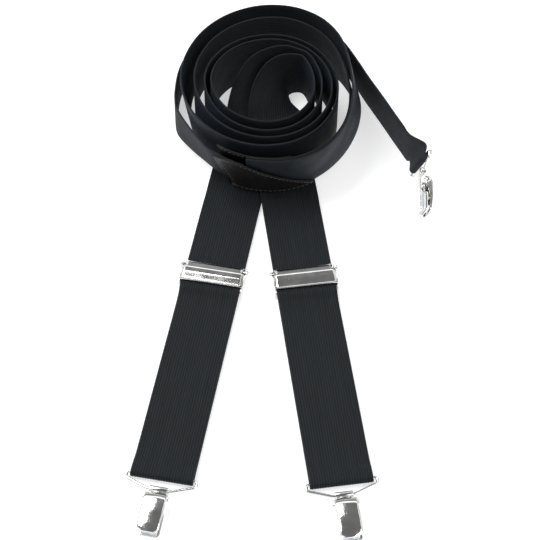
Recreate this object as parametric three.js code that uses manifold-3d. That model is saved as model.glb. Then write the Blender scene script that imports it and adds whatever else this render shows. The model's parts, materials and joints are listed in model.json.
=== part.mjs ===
// Y-back clip-on suspenders, rolled up: the two front straps stand on edge in one loose coil, come out
// flat under its front wall, and each ends in an adjuster and a clip; a leather patch on the outermost
// turn joins them to the narrow back strap, which passes round the coil to a third clip.
// Millimetres, +Z up, +Y away from the flat strap ends; the origin is the middle of the footprint.
import * as THREE from "three";
import { mergeVertices } from "three/addons/utils/BufferGeometryUtils.js";
import Module from "manifold-3d";

// Webbing
const STRAP_WIDTH = 35;
const STRAP_THICKNESS = 1.2;
const BACK_STRAP_WIDTH = 25;
const BACK_STRAP_THICKNESS = 1.2;
const LEATHER_THICKNESS = 1.0;
const GAP = 0.3; // left between pieces that touch
const LAYER_GAP = 0.4; // between two straps that lie on each other

// Wire, plate and pins
const WIRE_DIAMETER = 2.0;
const PLATE = 0.8;
const PIN_DIAMETER = 1.6;
const ROUND_SIDES = 12; // facets of pins, knuckles and holes

// Clip
const BAIL_DEPTH = 8.6;
const BAIL_SHOULDER = 3.6; // how far each leg runs forward before it turns in to the clip
const BAIL_BEND = 1.5;
const BAIL_NARROW_SIDE = 12.4;
const BAIL_SIDE_CLEARANCE = 1.2;
const KNUCKLE_WIDTH = 10;
const KNUCKLE_WALL = 0.9;
const CLIP_WIDTH = 12.8;
const JAW_LENGTH = 27;
const LEVER_LENGTH = 25;
const LEVER_RISE = 6.3;
const HINGE_FROM_BAIL = 6.4;
const HINGE_RISE = 2.6;
const EAR_NECK_BACK = 1.1; // how far the ears reach behind the pin below it, clear of the open lever
const PAD_LENGTH = 11;
const PAD_WIDTH = 9.6;
const PAD_THICKNESS = 1.3;

// Adjuster
const ADJUSTER_FROM_FOLD = 136;
const ADJUSTER_LENGTH = 15.2;
const ADJUSTER_SIDE_CLEARANCE = 0.5;
const EAR_THICKNESS = 0.9;
const COVER_OVERHANG = 0.3;
const COVER_PIN_BACK = 5; // from the middle of the adjuster towards the coil
const COVER_PIN_RISE = 4.9;
const COVER_TEETH = 15;
const TOOTH_DEPTH = 0.6;
const BAR_FORWARD = 6.8; // from the middle of the adjuster towards the clip
const BAR_RISE = 4.5;
const BAR_LENGTH = 2.6;
const BAR_THICKNESS = 0.8;

// Coil: how far the inner strap stands outside the core's radius at each quarter turn, starting from
// the back and going clockwise seen from above
const CORE_RADIUS = 34;
const COIL_TURNS = 2.5;
const COIL_LOOSENING = [-5, -9, 4.5, 4, -1.5, 1.5, 17, 14.5, 17.5, 15.6, 31.2, 20.3];
const STEPS_PER_TURN = 36;
// The extra space between the two straps, and how far their walls lean outwards at the top, in
// degrees, each against the turns from the coil's core
const PAIR_SPREAD = [
  [0, 1.8], [0.25, 3], [0.5, 5.4], [0.75, 2.4], [1.25, 2], [1.5, 3.4], [1.75, 4.4], [2, 8.4], [2.25, 0],
];
const OUTER_LEAN = [[0, 0], [1.25, 0], [1.75, 8], [2, 2], [2.25, -12], [2.45, 11], [2.6, 12], [2.8, 0]];
const INNER_LEAN = [[0, 0], [2, 0], [2.25, -12], [2.45, 11], [2.6, 12]];
const OUTER_LIFT = [[0, 0], [2, 0], [2.25, 8], [2.45, 0], [2.6, 0]];

// Flat runs, in the coil's own frame: where each bail's fold lies and where the strap meets the coil
const LEFT_FOLD = [-60.5, -263];
const LEFT_MOUTH = [-26, -79];
const MOUTH_SPACE = 2.5; // between the two straps' edges where they meet the coil
const RIGHT_FOLD = [37, -266];
const RIGHT_MOUTH = [LEFT_MOUTH[0] + STRAP_WIDTH + MOUTH_SPACE, LEFT_MOUTH[1]];
const FLAT_HEIGHT = PLATE + GAP;
// From the mouth to the core: x, y, how far the strap has climbed onto the other one (0 to 1), and
// its roll from flat (0) to upright (90)
const ENTRY_REST = 0.2;
const LEFT_ENTRY = [
  [-24.3, -70, 0.06, 0], [-22.5, -60, 0, 0], [-18.7, -40, 0, 0], [-15, -20, 0, 0], [-12.4, -6, 0, 5],
  [-10.5, 5, 0, 24], [-7.5, 14.5, 0, 54], [-1.5, 22.5, 0, 80], [8.5, 26.8, 0, 90],
];
// The right strap slides over the left one: its shift beside it, as a share of the width, and its climb
const RIGHT_BESIDE_LEFT = [[0.989, 1.1], [0.897, 1], [0.711, 1], [0.529, 1]];
const RIGHT_ENTRY = [
  ...RIGHT_BESIDE_LEFT.map(([share, climb], i) =>
    [LEFT_ENTRY[i][0] + share * STRAP_WIDTH, LEFT_ENTRY[i][1], climb, 0]),
  [1.8, -7, 1, 5], [1.6, 3, 0.81, 28], [4, 11.5, 0.44, 58], [9.5, 18, 0.06, 84],
];
const JOINS_COIL_AT = 0.125; // turns from the coil's start, where both entries hand over to it
// The back strap's single open turn from the coil's left side, round behind it, to its clip: turns
// counted on from the coil's, and how far outside the core's radius
const BACK_ROUTE = [
  [2.702, 27.4], [2.756, 26.4], [2.806, 26.8], [2.859, 28.2], [2.912, 30.2], [2.968, 31.5],
  [3.021, 31.6], [3.073, 29.8], [3.122, 26.6], [3.172, 24.2], [3.223, 26.3], [3.266, 34.4],
  [3.297, 45.4], [3.318, 57.7],
];
const BACK_FOLD = [3.332, 69.4];
const BACK_FOLD_HEIGHT = 15;
const BACK_FOLD_LEAD = 6; // straight run before the wire
const BACK_FOLD_TAIL = 12; // the end sewn back along the strap
const BACK_FOLD_ACROSS = [0.3, -0.2, 0.933];
const BACK_CLIP_HEADING = [-0.03, -0.98, -0.2];

// Patch, on the outermost turn at the front: lengths along the strap, heights up from its lower edge
const PATCH_LEFT_TOP = 36;
const PATCH_LEFT_BOTTOM = 27;
const PATCH_PEAK_AT = 21;
const PATCH_PEAK_HEIGHT = 32;
const PATCH_LEFT_HEIGHT = 28.5;
const PATCH_RIGHT = -27;
const PATCH_RIGHT_HEIGHT = 2.5;
const PATCH_LOWER_EDGE = 0.8;
const PATCH_STEPS = 12;
const PATCH_CLEARANCE = 0.9; // the straps' flat facets bow in by this much at most
const STRAPS_END_AT = 16;
const BACK_STRAP_STARTS_AT = STRAPS_END_AT + 1.6;
const BACK_STRAP_LIFT = 1; // above the front straps' lower edge, inside the patch

const wasm = await Module();
wasm.setup();

function solid(geometry) {
  const loose = geometry.index ? geometry.toNonIndexed() : geometry;
  const bare = new THREE.BufferGeometry().setAttribute("position", loose.getAttribute("position"));
  const merged = mergeVertices(bare, 1e-4);
  const vertProperties = new Float32Array(merged.attributes.position.array);
  const triVerts = new Uint32Array(merged.index.array);
  return new wasm.Manifold(new wasm.Mesh({ numProp: 3, vertProperties, triVerts }));
}

function shell(manifold) {
  const { vertProperties, triVerts } = manifold.getMesh();
  const geometry = new THREE.BufferGeometry();
  geometry.setAttribute("position", new THREE.BufferAttribute(vertProperties, 3));
  geometry.setIndex(new THREE.BufferAttribute(triVerts, 1));
  return geometry;
}

function joined(geometries, holes = []) {
  const whole = geometries.map(solid).reduce((sum, next) => sum.add(next));
  return shell(holes.map(solid).reduce((rest, hole) => rest.subtract(hole), whole));
}

const block = (x0, x1, y0, y1, z0, z1) =>
  new THREE.BoxGeometry(x1 - x0, y1 - y0, z1 - z0).translate((x0 + x1) / 2, (y0 + y1) / 2, (z0 + z1) / 2);

// A bar of round section along X through (y, z)
const rod = (radius, x0, x1, y, z) =>
  new THREE.CylinderGeometry(radius, radius, x1 - x0, ROUND_SIDES)
    .rotateZ(-Math.PI / 2)
    .translate((x0 + x1) / 2, y, z);

// An outline in the (y, z) plane carried along X
function profile(points, x0, x1) {
  const shape = new THREE.Shape(points.map(([y, z]) => new THREE.Vector2(y, z)));
  const geometry = new THREE.ExtrudeGeometry(shape, { depth: x1 - x0, bevelEnabled: false });
  return geometry.applyMatrix4(
    new THREE.Matrix4().set(0, 0, 1, x0, 1, 0, 0, 0, 0, 1, 0, 0, 0, 0, 0, 1),
  );
}

// A flat plate with round corners, its outline in the (x, y) plane
function roundedPlate(x0, x1, y0, y1, radius, z0, z1) {
  const shape = new THREE.Shape();
  shape.moveTo(x0 + radius, y0);
  shape.lineTo(x1 - radius, y0);
  shape.absarc(x1 - radius, y0 + radius, radius, -Math.PI / 2, 0, false);
  shape.absarc(x1 - radius, y1 - radius, radius, 0, Math.PI / 2, false);
  shape.absarc(x0 + radius, y1 - radius, radius, Math.PI / 2, Math.PI, false);
  shape.absarc(x0 + radius, y0 + radius, radius, Math.PI, 1.5 * Math.PI, false);
  const options = { depth: z1 - z0, bevelEnabled: false, curveSegments: 4 };
  return new THREE.ExtrudeGeometry(shape, options).translate(0, 0, z0);
}

// A closed band: each section gives its low and high edge points and the normal that thickens them
function band(sections, thickness) {
  const corners = [];
  for (const { low, high, normal } of sections) {
    const half = normal.clone().multiplyScalar(thickness / 2);
    corners.push(low.clone().add(half), high.clone().add(half));
    corners.push(high.clone().sub(half), low.clone().sub(half));
  }
  const faces = [];
  const quad = (a, b, c, d) => faces.push(a, b, c, a, c, d);
  const last = 4 * (sections.length - 1);
  quad(0, 1, 2, 3);
  quad(last + 3, last + 2, last + 1, last);
  // Both faces are cut along the same diagonal, so a twisted band keeps its thickness
  for (let start = 0; start < last; start += 4) {
    quad(start, start + 4, start + 5, start + 1);
    quad(start + 1, start + 5, start + 6, start + 2);
    quad(start + 6, start + 7, start + 3, start + 2);
    quad(start + 3, start + 7, start + 4, start);
  }
  const geometry = new THREE.BufferGeometry().setFromPoints(corners);
  geometry.setIndex(faces);
  return solid(geometry).volume() < 0 ? flipped(geometry) : geometry;
}

function flipped(geometry) {
  const index = geometry.index.array;
  for (let i = 0; i < index.length; i += 3) {
    [index[i + 1], index[i + 2]] = [index[i + 2], index[i + 1]];
  }
  return geometry;
}

const radians = THREE.MathUtils.degToRad;

// A value read off a list of [place, value] pairs, eased between them
function eased(list, place) {
  if (place <= list[0][0]) return list[0][1];
  for (let i = 1; i < list.length; i += 1) {
    const [from, before] = list[i - 1];
    const [to, after] = list[i];
    if (place <= to) {
      return before + (after - before) * THREE.MathUtils.smoothstep(place, from, to);
    }
  }
  return list.at(-1)[1];
}

// A place round the coil: turns run clockwise seen from above, from the back
function placeAround(turns, outsideCore) {
  const angle = 2 * Math.PI * turns;
  const radius = CORE_RADIUS + outsideCore;
  return [radius * Math.sin(angle), radius * Math.cos(angle)];
}

const quarterTurns = COIL_LOOSENING.map((_, i) => i / 4);
const loosening = new THREE.CubicInterpolant(quarterTurns, COIL_LOOSENING, 1, new Float64Array(1));

// The inner strap's middle line, or a line further out
function coilPoint(turns, outwards) {
  return placeAround(turns, loosening.evaluate(turns)[0] + outwards);
}

// Distance between the two straps' middle lines: loose inside, sewn together at the patch
const TOUCHING = STRAP_THICKNESS + LAYER_GAP;
const pairSpacing = (turns) => TOUCHING + eased(PAIR_SPREAD, turns);
const pairMiddle = (turns) => coilPoint(turns, pairSpacing(turns) / 2);

// The walls pass over the two flat straps at the front and stand just off the floor at the back
const WALL_LIFT = ENTRY_REST + 2 * STRAP_THICKNESS + LAYER_GAP + GAP;
const WALL_LIFT_STARTS = 18;
const WALL_LIFT_ENDS = -14;
const EDGE_CLEARANCE = 0.15;
const wallBase = (y) =>
  EDGE_CLEARANCE + WALL_LIFT * THREE.MathUtils.smoothstep(-y, -WALL_LIFT_STARTS, -WALL_LIFT_ENDS);

// A strap's section on edge or flat: `roll` 0 lies flat, 90 stands with the ribbed face inwards
function stripSections(stations, width, thickness) {
  const points = stations.map(([x, y, base]) => new THREE.Vector3(x, y, base));
  const rolls = stations.map(([, , , roll]) => new THREE.Vector3(roll, 0, 0));
  const line = new THREE.CatmullRomCurve3(points, false, "catmullrom");
  const turning = new THREE.CatmullRomCurve3(rolls, false, "catmullrom");
  const steps = 2 * (stations.length - 1);
  const sections = [];
  for (let step = 0; step <= steps; step += 1) {
    const place = line.getPoint(step / steps);
    const heading = line.getTangent(step / steps).setZ(0).normalize();
    const roll = radians(turning.getPoint(step / steps).x);
    sections.push(stripSection(place, heading, roll, width, thickness));
  }
  return sections;
}

function stripSection(place, heading, roll, width, thickness) {
  const right = new THREE.Vector3(heading.y, -heading.x, 0);
  const across = right.clone().multiplyScalar(Math.cos(roll)).setZ(-Math.sin(roll));
  const normal = right.multiplyScalar(Math.sin(roll)).setZ(Math.cos(roll));
  const rise = (width / 2) * Math.sin(roll) + (thickness / 2) * Math.abs(Math.cos(roll));
  const centre = place.clone().setZ(place.z + rise);
  const half = across.multiplyScalar(width / 2);
  return { low: centre.clone().add(half), high: centre.clone().sub(half), normal };
}

// The stations of one strap of the pair
function coilStations(from, to, isOuter, leans, lifts) {
  const stations = [];
  const count = Math.round(((to - from) * STEPS_PER_TURN) / 2);
  for (let step = 0; step <= count; step += 1) {
    const turns = from + ((to - from) * step) / count;
    const [x, y] = coilPoint(turns, isOuter ? pairSpacing(turns) : 0);
    stations.push([x, y, wallBase(y) + eased(lifts, turns), 90 - eased(leans, turns)]);
  }
  return stations;
}

const lengthAtFront = 2 * Math.PI * Math.hypot(...pairMiddle(COIL_TURNS)); // of a whole turn
const turnsAtFront = (along) => COIL_TURNS + along / lengthAtFront;

// A flat run from inside the adjuster to the coil's mouth
function flatRun(fold, mouth) {
  const start = new THREE.Vector2(...fold);
  const end = new THREE.Vector2(...mouth);
  const whole = start.distanceTo(end);
  const stations = [];
  for (const pastAdjuster of [GAP / 2, 12, 30, whole - ADJUSTER_FROM_FOLD]) {
    const place = start.clone().lerp(end, (ADJUSTER_FROM_FOLD + pastAdjuster) / whole);
    stations.push([place.x, place.y, FLAT_HEIGHT, 0]);
  }
  return stations;
}

function frontStrap(fold, mouth, entry, isOuter, leans, lifts) {
  const climbing = entry.map(([x, y, climb, roll]) => [x, y, ENTRY_REST + climb * TOUCHING, roll]);
  const coil = coilStations(JOINS_COIL_AT, turnsAtFront(STRAPS_END_AT), isOuter, leans, lifts);
  const stations = [...flatRun(fold, mouth), ...climbing, ...coil];
  return band(stripSections(stations, STRAP_WIDTH, STRAP_THICKNESS), STRAP_THICKNESS);
}

// ---- materials ----
const finish = (color, roughness, metalness) =>
  new THREE.MeshStandardMaterial({ color, roughness, metalness });
const ribbedElastic = finish(0x0e1116, 0.85, 0);
const smoothElastic = finish(0x24272d, 0.9, 0);
const leather = finish(0x14120f, 0.55, 0);
const nickel = finish(0xd6d6d4, 0.15, 1);
const padPlastic = finish(0xe6ecec, 0.4, 0);

function piece(parent, name, geometry, material) {
  const mesh = new THREE.Mesh(geometry, material);
  mesh.name = name;
  parent.add(mesh);
  return mesh;
}

// ---- bail and clip; the bail's wide side lies on X at the origin, the clip points along +Y ----
function bail(strapWidth) {
  const wide = strapWidth / 2 + BAIL_SIDE_CLEARANCE + WIRE_DIAMETER / 2;
  const narrow = BAIL_NARROW_SIDE / 2;
  const corners = [
    [-wide, 0], [wide, 0], [wide, BAIL_SHOULDER], [narrow, BAIL_DEPTH], [-narrow, BAIL_DEPTH],
    [-wide, BAIL_SHOULDER],
  ];
  const path = new THREE.CurvePath();
  const point = (pair) => new THREE.Vector3(pair[0], pair[1], 0);
  const towards = (from, to) =>
    point(from).lerp(point(to), BAIL_BEND / point(from).distanceTo(point(to)));
  corners.forEach((corner, i) => {
    const before = corners[(i + corners.length - 1) % corners.length];
    const after = corners[(i + 1) % corners.length];
    const [enter, leave] = [towards(corner, before), towards(corner, after)];
    path.add(new THREE.QuadraticBezierCurve3(enter, point(corner), leave));
    path.add(new THREE.LineCurve3(towards(corner, after), towards(after, corner)));
  });
  const steps = 2 * Math.round((wide + BAIL_DEPTH) * 0.65);
  return new THREE.TubeGeometry(path, steps, WIRE_DIAMETER / 2, 8, true);
}

const PLATE_BOTTOM = -(WIRE_DIAMETER / 2 + GAP + KNUCKLE_WALL + GAP);
const PLATE_TOP = PLATE_BOTTOM + PLATE;
const EAR_OUTSIDE = CLIP_WIDTH / 2 - PLATE - GAP;
const PIN_HOLE = PIN_DIAMETER / 2 + GAP;
const PAD_START = JAW_LENGTH - 1 - PAD_LENGTH;
const LOWER_PAD_TOP = PLATE_TOP + GAP + PAD_THICKNESS;
const UPPER_PAD_BOTTOM = LOWER_PAD_TOP + GAP;
const TONGUE_BOTTOM = UPPER_PAD_BOTTOM + PAD_THICKNESS + GAP;
const TONGUE_TOP = TONGUE_BOTTOM + PLATE;

function clipFrame() {
  const wireHole = WIRE_DIAMETER / 2 + GAP;
  const half = KNUCKLE_WIDTH / 2;
  const plateHalf = CLIP_WIDTH / 2 - 0.4;
  const earRadius = PIN_HOLE + 1;
  const parts = [
    rod(wireHole + KNUCKLE_WALL, -half, half, 0, 0),
    block(-half, half, -1, 4, PLATE_BOTTOM, PLATE_TOP),
    block(-EAR_OUTSIDE, EAR_OUTSIDE, 3, PAD_START - 2, PLATE_BOTTOM, PLATE_TOP),
    roundedPlate(-plateHalf, plateHalf, PAD_START - 3, JAW_LENGTH, 2, PLATE_BOTTOM, PLATE_TOP),
    block(-half, half, -1, 1, PLATE_BOTTOM, -wireHole),
  ];
  for (const inner of [-EAR_OUTSIDE, EAR_OUTSIDE - PLATE]) {
    parts.push(rod(earRadius, inner, inner + PLATE, HINGE_FROM_BAIL, HINGE_RISE));
    const neck = [HINGE_FROM_BAIL - EAR_NECK_BACK, HINGE_FROM_BAIL + earRadius];
    parts.push(block(inner, inner + PLATE, ...neck, PLATE_BOTTOM, HINGE_RISE));
  }
  const holes = [
    rod(wireHole, -half - 1, half + 1, 0, 0),
    rod(PIN_HOLE, -CLIP_WIDTH, CLIP_WIDTH, HINGE_FROM_BAIL, HINGE_RISE),
  ];
  return joined(parts, holes);
}

function clipTongue() {
  const knuckle = 2.6;
  const half = EAR_OUTSIDE - PLATE - GAP;
  const parts = [
    rod(PIN_HOLE + 0.7, -knuckle, knuckle, HINGE_FROM_BAIL, HINGE_RISE),
    block(-knuckle, knuckle, HINGE_FROM_BAIL, PAD_START - 1, TONGUE_BOTTOM, TONGUE_TOP),
    roundedPlate(-half - 0.6, half + 0.6, PAD_START - 2, JAW_LENGTH - 0.5, 1.5, TONGUE_BOTTOM, TONGUE_TOP),
  ];
  return joined(parts, [rod(PIN_HOLE, -CLIP_WIDTH, CLIP_WIDTH, HINGE_FROM_BAIL, HINGE_RISE)]);
}

function clipLever() {
  const start = HINGE_FROM_BAIL - 2.2;
  const end = start + LEVER_LENGTH;
  const crown = [
    [start, LEVER_RISE - 1.7], [start + 0.9, LEVER_RISE - 0.7], [start + 4, LEVER_RISE],
    [start + 12, LEVER_RISE], [end - 5, LEVER_RISE - 0.7], [end - 0.8, LEVER_RISE - 1.8],
    [end, LEVER_RISE - 2.6],
  ];
  const under = crown.map(([y, z]) => [y, z - PLATE]).reverse();
  const half = CLIP_WIDTH / 2;
  const flange = [
    ...crown.slice(0, 6), [end - 5, HINGE_RISE + 0.6], [HINGE_FROM_BAIL + 3, HINGE_RISE - 1.8],
    [start + 0.4, HINGE_RISE - 1.8],
  ].reverse();
  const camFace = HINGE_FROM_BAIL + 3.6;
  const camHalf = EAR_OUTSIDE - PLATE - GAP;
  const parts = [
    profile([...crown, ...under].reverse(), -half, half),
    profile(flange, -half, -half + PLATE),
    profile(flange, half - PLATE, half),
    block(-camHalf, camHalf, camFace, camFace + 1.2, TONGUE_TOP + GAP, LEVER_RISE - 0.4),
  ];
  return joined(parts, [rod(PIN_HOLE, -CLIP_WIDTH, CLIP_WIDTH, HINGE_FROM_BAIL, HINGE_RISE)]);
}

function headedPin(radius, headRadius, headLength, reach) {
  const inner = reach - headLength;
  const half = [[0, 0], [radius, 0], [radius, inner], [headRadius, inner], [headRadius, reach - 0.3],
    [headRadius - 0.3, reach], [0, reach]];
  const mirrored = half.slice(1).map(([r, x]) => [r, -x]).reverse();
  const outline = [...mirrored, ...half.slice(2)].map(([r, x]) => new THREE.Vector2(r, x));
  return new THREE.LatheGeometry(outline, ROUND_SIDES).rotateZ(-Math.PI / 2);
}

function clip(parent, side, strapWidth) {
  piece(parent, `${side}_bail`, bail(strapWidth), nickel);
  const body = new THREE.Group();
  body.position.set(0, BAIL_DEPTH, 0);
  parent.add(body);
  const pin = headedPin(PIN_DIAMETER / 2, PIN_DIAMETER / 2 + 0.5, 0.7, CLIP_WIDTH / 2 + GAP + 0.7);
  const pads = [
    ["rear_pad", PLATE_TOP + GAP, padPlastic],
    ["front_pad", UPPER_PAD_BOTTOM, padPlastic],
  ];
  piece(body, `${side}_clip_frame`, clipFrame(), nickel);
  piece(body, `${side}_clip_tongue`, clipTongue(), nickel);
  piece(body, `${side}_clip_lever`, clipLever(), nickel);
  piece(body, `${side}_clip_pin`, pin, nickel).position.set(0, HINGE_FROM_BAIL, HINGE_RISE);
  for (const [name, bottom, material] of pads) {
    const half = PAD_WIDTH / 2;
    const end = PAD_START + PAD_LENGTH;
    const pad = roundedPlate(-half, half, PAD_START, end, 1.5, bottom, bottom + PAD_THICKNESS);
    piece(body, `${side}_clip_${name}`, pad, material);
  }
}

// ---- adjuster; its middle is the origin, the floor is z = 0, the clip lies towards +Y ----
const ADJUSTER_INSIDE = STRAP_WIDTH / 2 + ADJUSTER_SIDE_CLEARANCE;
const ADJUSTER_OUTSIDE = ADJUSTER_INSIDE + EAR_THICKNESS;
const WRAP_RADIUS = BAR_THICKNESS / 2 + GAP + STRAP_THICKNESS / 2;
const COVER_UNDERSIDE = BAR_RISE + WRAP_RADIUS + STRAP_THICKNESS / 2 + GAP;

function adjusterFrame() {
  const back = -ADJUSTER_LENGTH / 2;
  const ear = [
    [back, 0], [BAR_FORWARD + BAR_LENGTH / 2 + 1, 0], [BAR_FORWARD + BAR_LENGTH / 2 + 1, BAR_RISE + 0.8],
    [BAR_FORWARD + 1, COVER_UNDERSIDE - GAP], [-2, COVER_UNDERSIDE - GAP], [back + 1, COVER_PIN_RISE],
    [back, COVER_PIN_RISE - 1.5],
  ];
  const parts = [block(-ADJUSTER_OUTSIDE, ADJUSTER_OUTSIDE, back, BAR_FORWARD - 1, 0, PLATE)];
  for (const x0 of [-ADJUSTER_OUTSIDE, ADJUSTER_INSIDE]) {
    parts.push(profile(ear, x0, x0 + EAR_THICKNESS));
  }
  const barHalf = BAR_LENGTH / 2 + GAP;
  const rise = BAR_THICKNESS / 2 + GAP;
  const holes = [
    rod(PIN_HOLE, -ADJUSTER_OUTSIDE - 1, ADJUSTER_OUTSIDE + 1, -COVER_PIN_BACK, COVER_PIN_RISE),
    block(
      -ADJUSTER_OUTSIDE - 1, ADJUSTER_OUTSIDE + 1,
      BAR_FORWARD - barHalf, BAR_FORWARD + barHalf, BAR_RISE - rise, BAR_RISE + rise,
    ),
  ];
  return joined(parts, holes);
}

function adjusterCover() {
  const half = ADJUSTER_OUTSIDE + COVER_OVERHANG;
  const reach = ADJUSTER_LENGTH / 2;
  const top = COVER_UNDERSIDE + PLATE;
  const outer = [
    [-reach, COVER_PIN_RISE + 0.3], [-reach + 0.8, top - 1], [-reach + 3.2, top], [-1, top + 0.7],
    [2.5, top + 0.7], [reach - 1.6, top + 0.3], [reach, top],
  ];
  const inner = [
    [reach, top - PLATE], [reach - 1.8, top - PLATE + 0.3], [2.5, top - PLATE + 0.7],
    [-1, top - PLATE + 0.7], [-reach + 3.4, top - PLATE], [-reach + 1.5, top - 1 - PLATE],
    [-reach + 0.8, COVER_PIN_RISE + 0.3],
  ];
  const lug = PIN_HOLE + 0.8;
  const parts = [profile([...outer, ...inner].reverse(), -half, half), coverTeeth(top)];
  for (const x0 of [-ADJUSTER_INSIDE + GAP, ADJUSTER_INSIDE - GAP - 1.2]) {
    parts.push(rod(lug, x0, x0 + 1.2, -COVER_PIN_BACK, COVER_PIN_RISE));
    const back = -COVER_PIN_BACK;
    parts.push(block(x0, x0 + 1.2, back - 1.2, back + lug, COVER_PIN_RISE, top - 0.4));
  }
  const holes = [rod(PIN_HOLE, -ADJUSTER_INSIDE, ADJUSTER_INSIDE, -COVER_PIN_BACK, COVER_PIN_RISE)];
  // The rear corners are notched round the frame's ears, so that the cover can swing back
  for (const x0 of [-half - 1, ADJUSTER_INSIDE - GAP]) {
    const x1 = x0 + half + 1 - ADJUSTER_INSIDE + GAP;
    holes.push(block(x0, x1, -reach - 1, -COVER_PIN_BACK + lug + GAP, 0, top + 2));
  }
  return joined(parts, holes);
}

// The row of teeth that holds the webbing when the cover is shut
function coverTeeth(top) {
  const half = ADJUSTER_INSIDE - 3;
  const tip = FLAT_HEIGHT + STRAP_THICKNESS + GAP;
  const pitch = (2 * half) / COVER_TEETH;
  const outline = [[half, top - 0.4], [-half, top - 0.4]];
  for (let tooth = 0; tooth < COVER_TEETH; tooth += 1) {
    outline.push([-half + pitch * tooth, tip + TOOTH_DEPTH], [-half + pitch * (tooth + 0.5), tip]);
  }
  outline.push([half, tip + TOOTH_DEPTH]);
  const shape = new THREE.Shape(outline.map(([x, z]) => new THREE.Vector2(x, z)));
  const geometry = new THREE.ExtrudeGeometry(shape, { depth: 1, bevelEnabled: false });
  return geometry.rotateX(Math.PI / 2).translate(0, -COVER_PIN_BACK + 3.4, 0);
}

function adjuster(parent, side) {
  const place = new THREE.Group();
  place.position.set(0, -ADJUSTER_FROM_FOLD, 0);
  parent.add(place);
  const reach = ADJUSTER_OUTSIDE + COVER_OVERHANG + GAP + 1;
  const pin = headedPin(PIN_DIAMETER / 2, PIN_DIAMETER / 2 + 0.6, 1, reach);
  const bar = roundedPlate(
    -ADJUSTER_OUTSIDE, ADJUSTER_OUTSIDE, BAR_FORWARD - BAR_LENGTH / 2, BAR_FORWARD + BAR_LENGTH / 2, 0.4,
    BAR_RISE - BAR_THICKNESS / 2, BAR_RISE + BAR_THICKNESS / 2,
  );
  piece(place, `${side}_adjuster_frame`, adjusterFrame(), nickel);
  piece(place, `${side}_adjuster_cover`, adjusterCover(), nickel);
  piece(place, `${side}_adjuster_pin`, pin, nickel).position.set(0, -COVER_PIN_BACK, COVER_PIN_RISE);
  piece(place, `${side}_adjuster_bar`, bar, nickel);
}

// ---- the doubled webbing below the adjuster: under the bar's level, round the bail and back ----
const FOLD_RISE = GAP + STRAP_THICKNESS + GAP + WIRE_DIAMETER / 2;

function arcPoints(y, z, radius, from, to, steps) {
  const points = [];
  for (let step = 0; step <= steps; step += 1) {
    const angle = radians(from + ((to - from) * step) / steps);
    points.push([y + radius * Math.cos(angle), z + radius * Math.sin(angle)]);
  }
  return points;
}

function webbingLoop() {
  const half = STRAP_THICKNESS / 2;
  const foldRadius = WIRE_DIAMETER / 2 + GAP + half;
  const lower = GAP + half;
  const upper = lower + STRAP_THICKNESS + GAP;
  const adjusterAt = -ADJUSTER_FROM_FOLD;
  const wrapAt = adjusterAt + BAR_FORWARD - 1;
  const line = [
    [adjusterAt + GAP / 2, FLAT_HEIGHT + half], [adjusterAt + BAR_FORWARD, FLAT_HEIGHT + half],
    [adjusterAt + BAR_FORWARD + 9, lower], [adjusterAt + 50, lower], [-50, lower], [-12, lower],
    ...arcPoints(0, FOLD_RISE, foldRadius, -90, 90, 8),
    [-6, FOLD_RISE + foldRadius - 0.5], [-15, upper], [-50, upper], [adjusterAt + 50, upper],
    [adjusterAt + BAR_FORWARD + 13, upper], [adjusterAt + BAR_FORWARD + 4, BAR_RISE + WRAP_RADIUS - 0.4],
    ...arcPoints(wrapAt, BAR_RISE, WRAP_RADIUS, 90, 270, 6),
    [wrapAt + 3.6, BAR_RISE - WRAP_RADIUS],
  ];
  const points = line.map(([y, z]) => new THREE.Vector3(0, y, z));
  const sections = points.map((point, i) => {
    const heading = points[Math.min(i + 1, points.length - 1)].clone().sub(points[Math.max(i - 1, 0)]);
    const normal = new THREE.Vector3(0, -heading.z, heading.y).normalize();
    const edge = new THREE.Vector3(STRAP_WIDTH / 2, 0, 0);
    return { low: point.clone().add(edge), high: point.clone().sub(edge), normal };
  });
  return band(sections, STRAP_THICKNESS);
}

// ---- patch and back strap ----
// A point on the patch's stack: along the strap, up its height, and out from its middle line
function patchPoint(along, height, outwards) {
  const turns = turnsAtFront(along);
  const [x, y] = pairMiddle(turns);
  const [xNext, yNext] = pairMiddle(turns + 0.001);
  const heading = new THREE.Vector3(xNext - x, yNext - y, 0).normalize();
  const roll = radians(90 - eased(OUTER_LEAN, turns));
  const place = new THREE.Vector3(x, y, wallBase(y));
  const section = stripSection(place, heading, roll, STRAP_WIDTH, STRAP_THICKNESS);
  const point = section.low.clone().lerp(section.high, height / STRAP_WIDTH);
  return { point: point.addScaledVector(section.normal, -outwards), normal: section.normal };
}

function patchLayer(outwards, lowEdge, highEdge) {
  const sections = [];
  for (let step = 0; step <= PATCH_STEPS; step += 1) {
    const low = patchPoint(...lowEdge(step / PATCH_STEPS), outwards);
    const high = patchPoint(...highEdge(step / PATCH_STEPS), outwards);
    const normal = low.normal.clone().add(high.normal).normalize();
    sections.push({ low: low.point, high: high.point, normal });
  }
  return band(sections, LEATHER_THICKNESS);
}

const PATCH_OFFSET =
  (STRAP_THICKNESS + LAYER_GAP) / 2 + STRAP_THICKNESS / 2 + PATCH_CLEARANCE + LEATHER_THICKNESS / 2;
const PATCH_UPPER_EDGE = [
  [PATCH_RIGHT, PATCH_RIGHT_HEIGHT], [-10, 14.5], [6, 24.5], [PATCH_PEAK_AT, PATCH_PEAK_HEIGHT],
  [PATCH_LEFT_TOP, PATCH_LEFT_HEIGHT],
];

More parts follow.
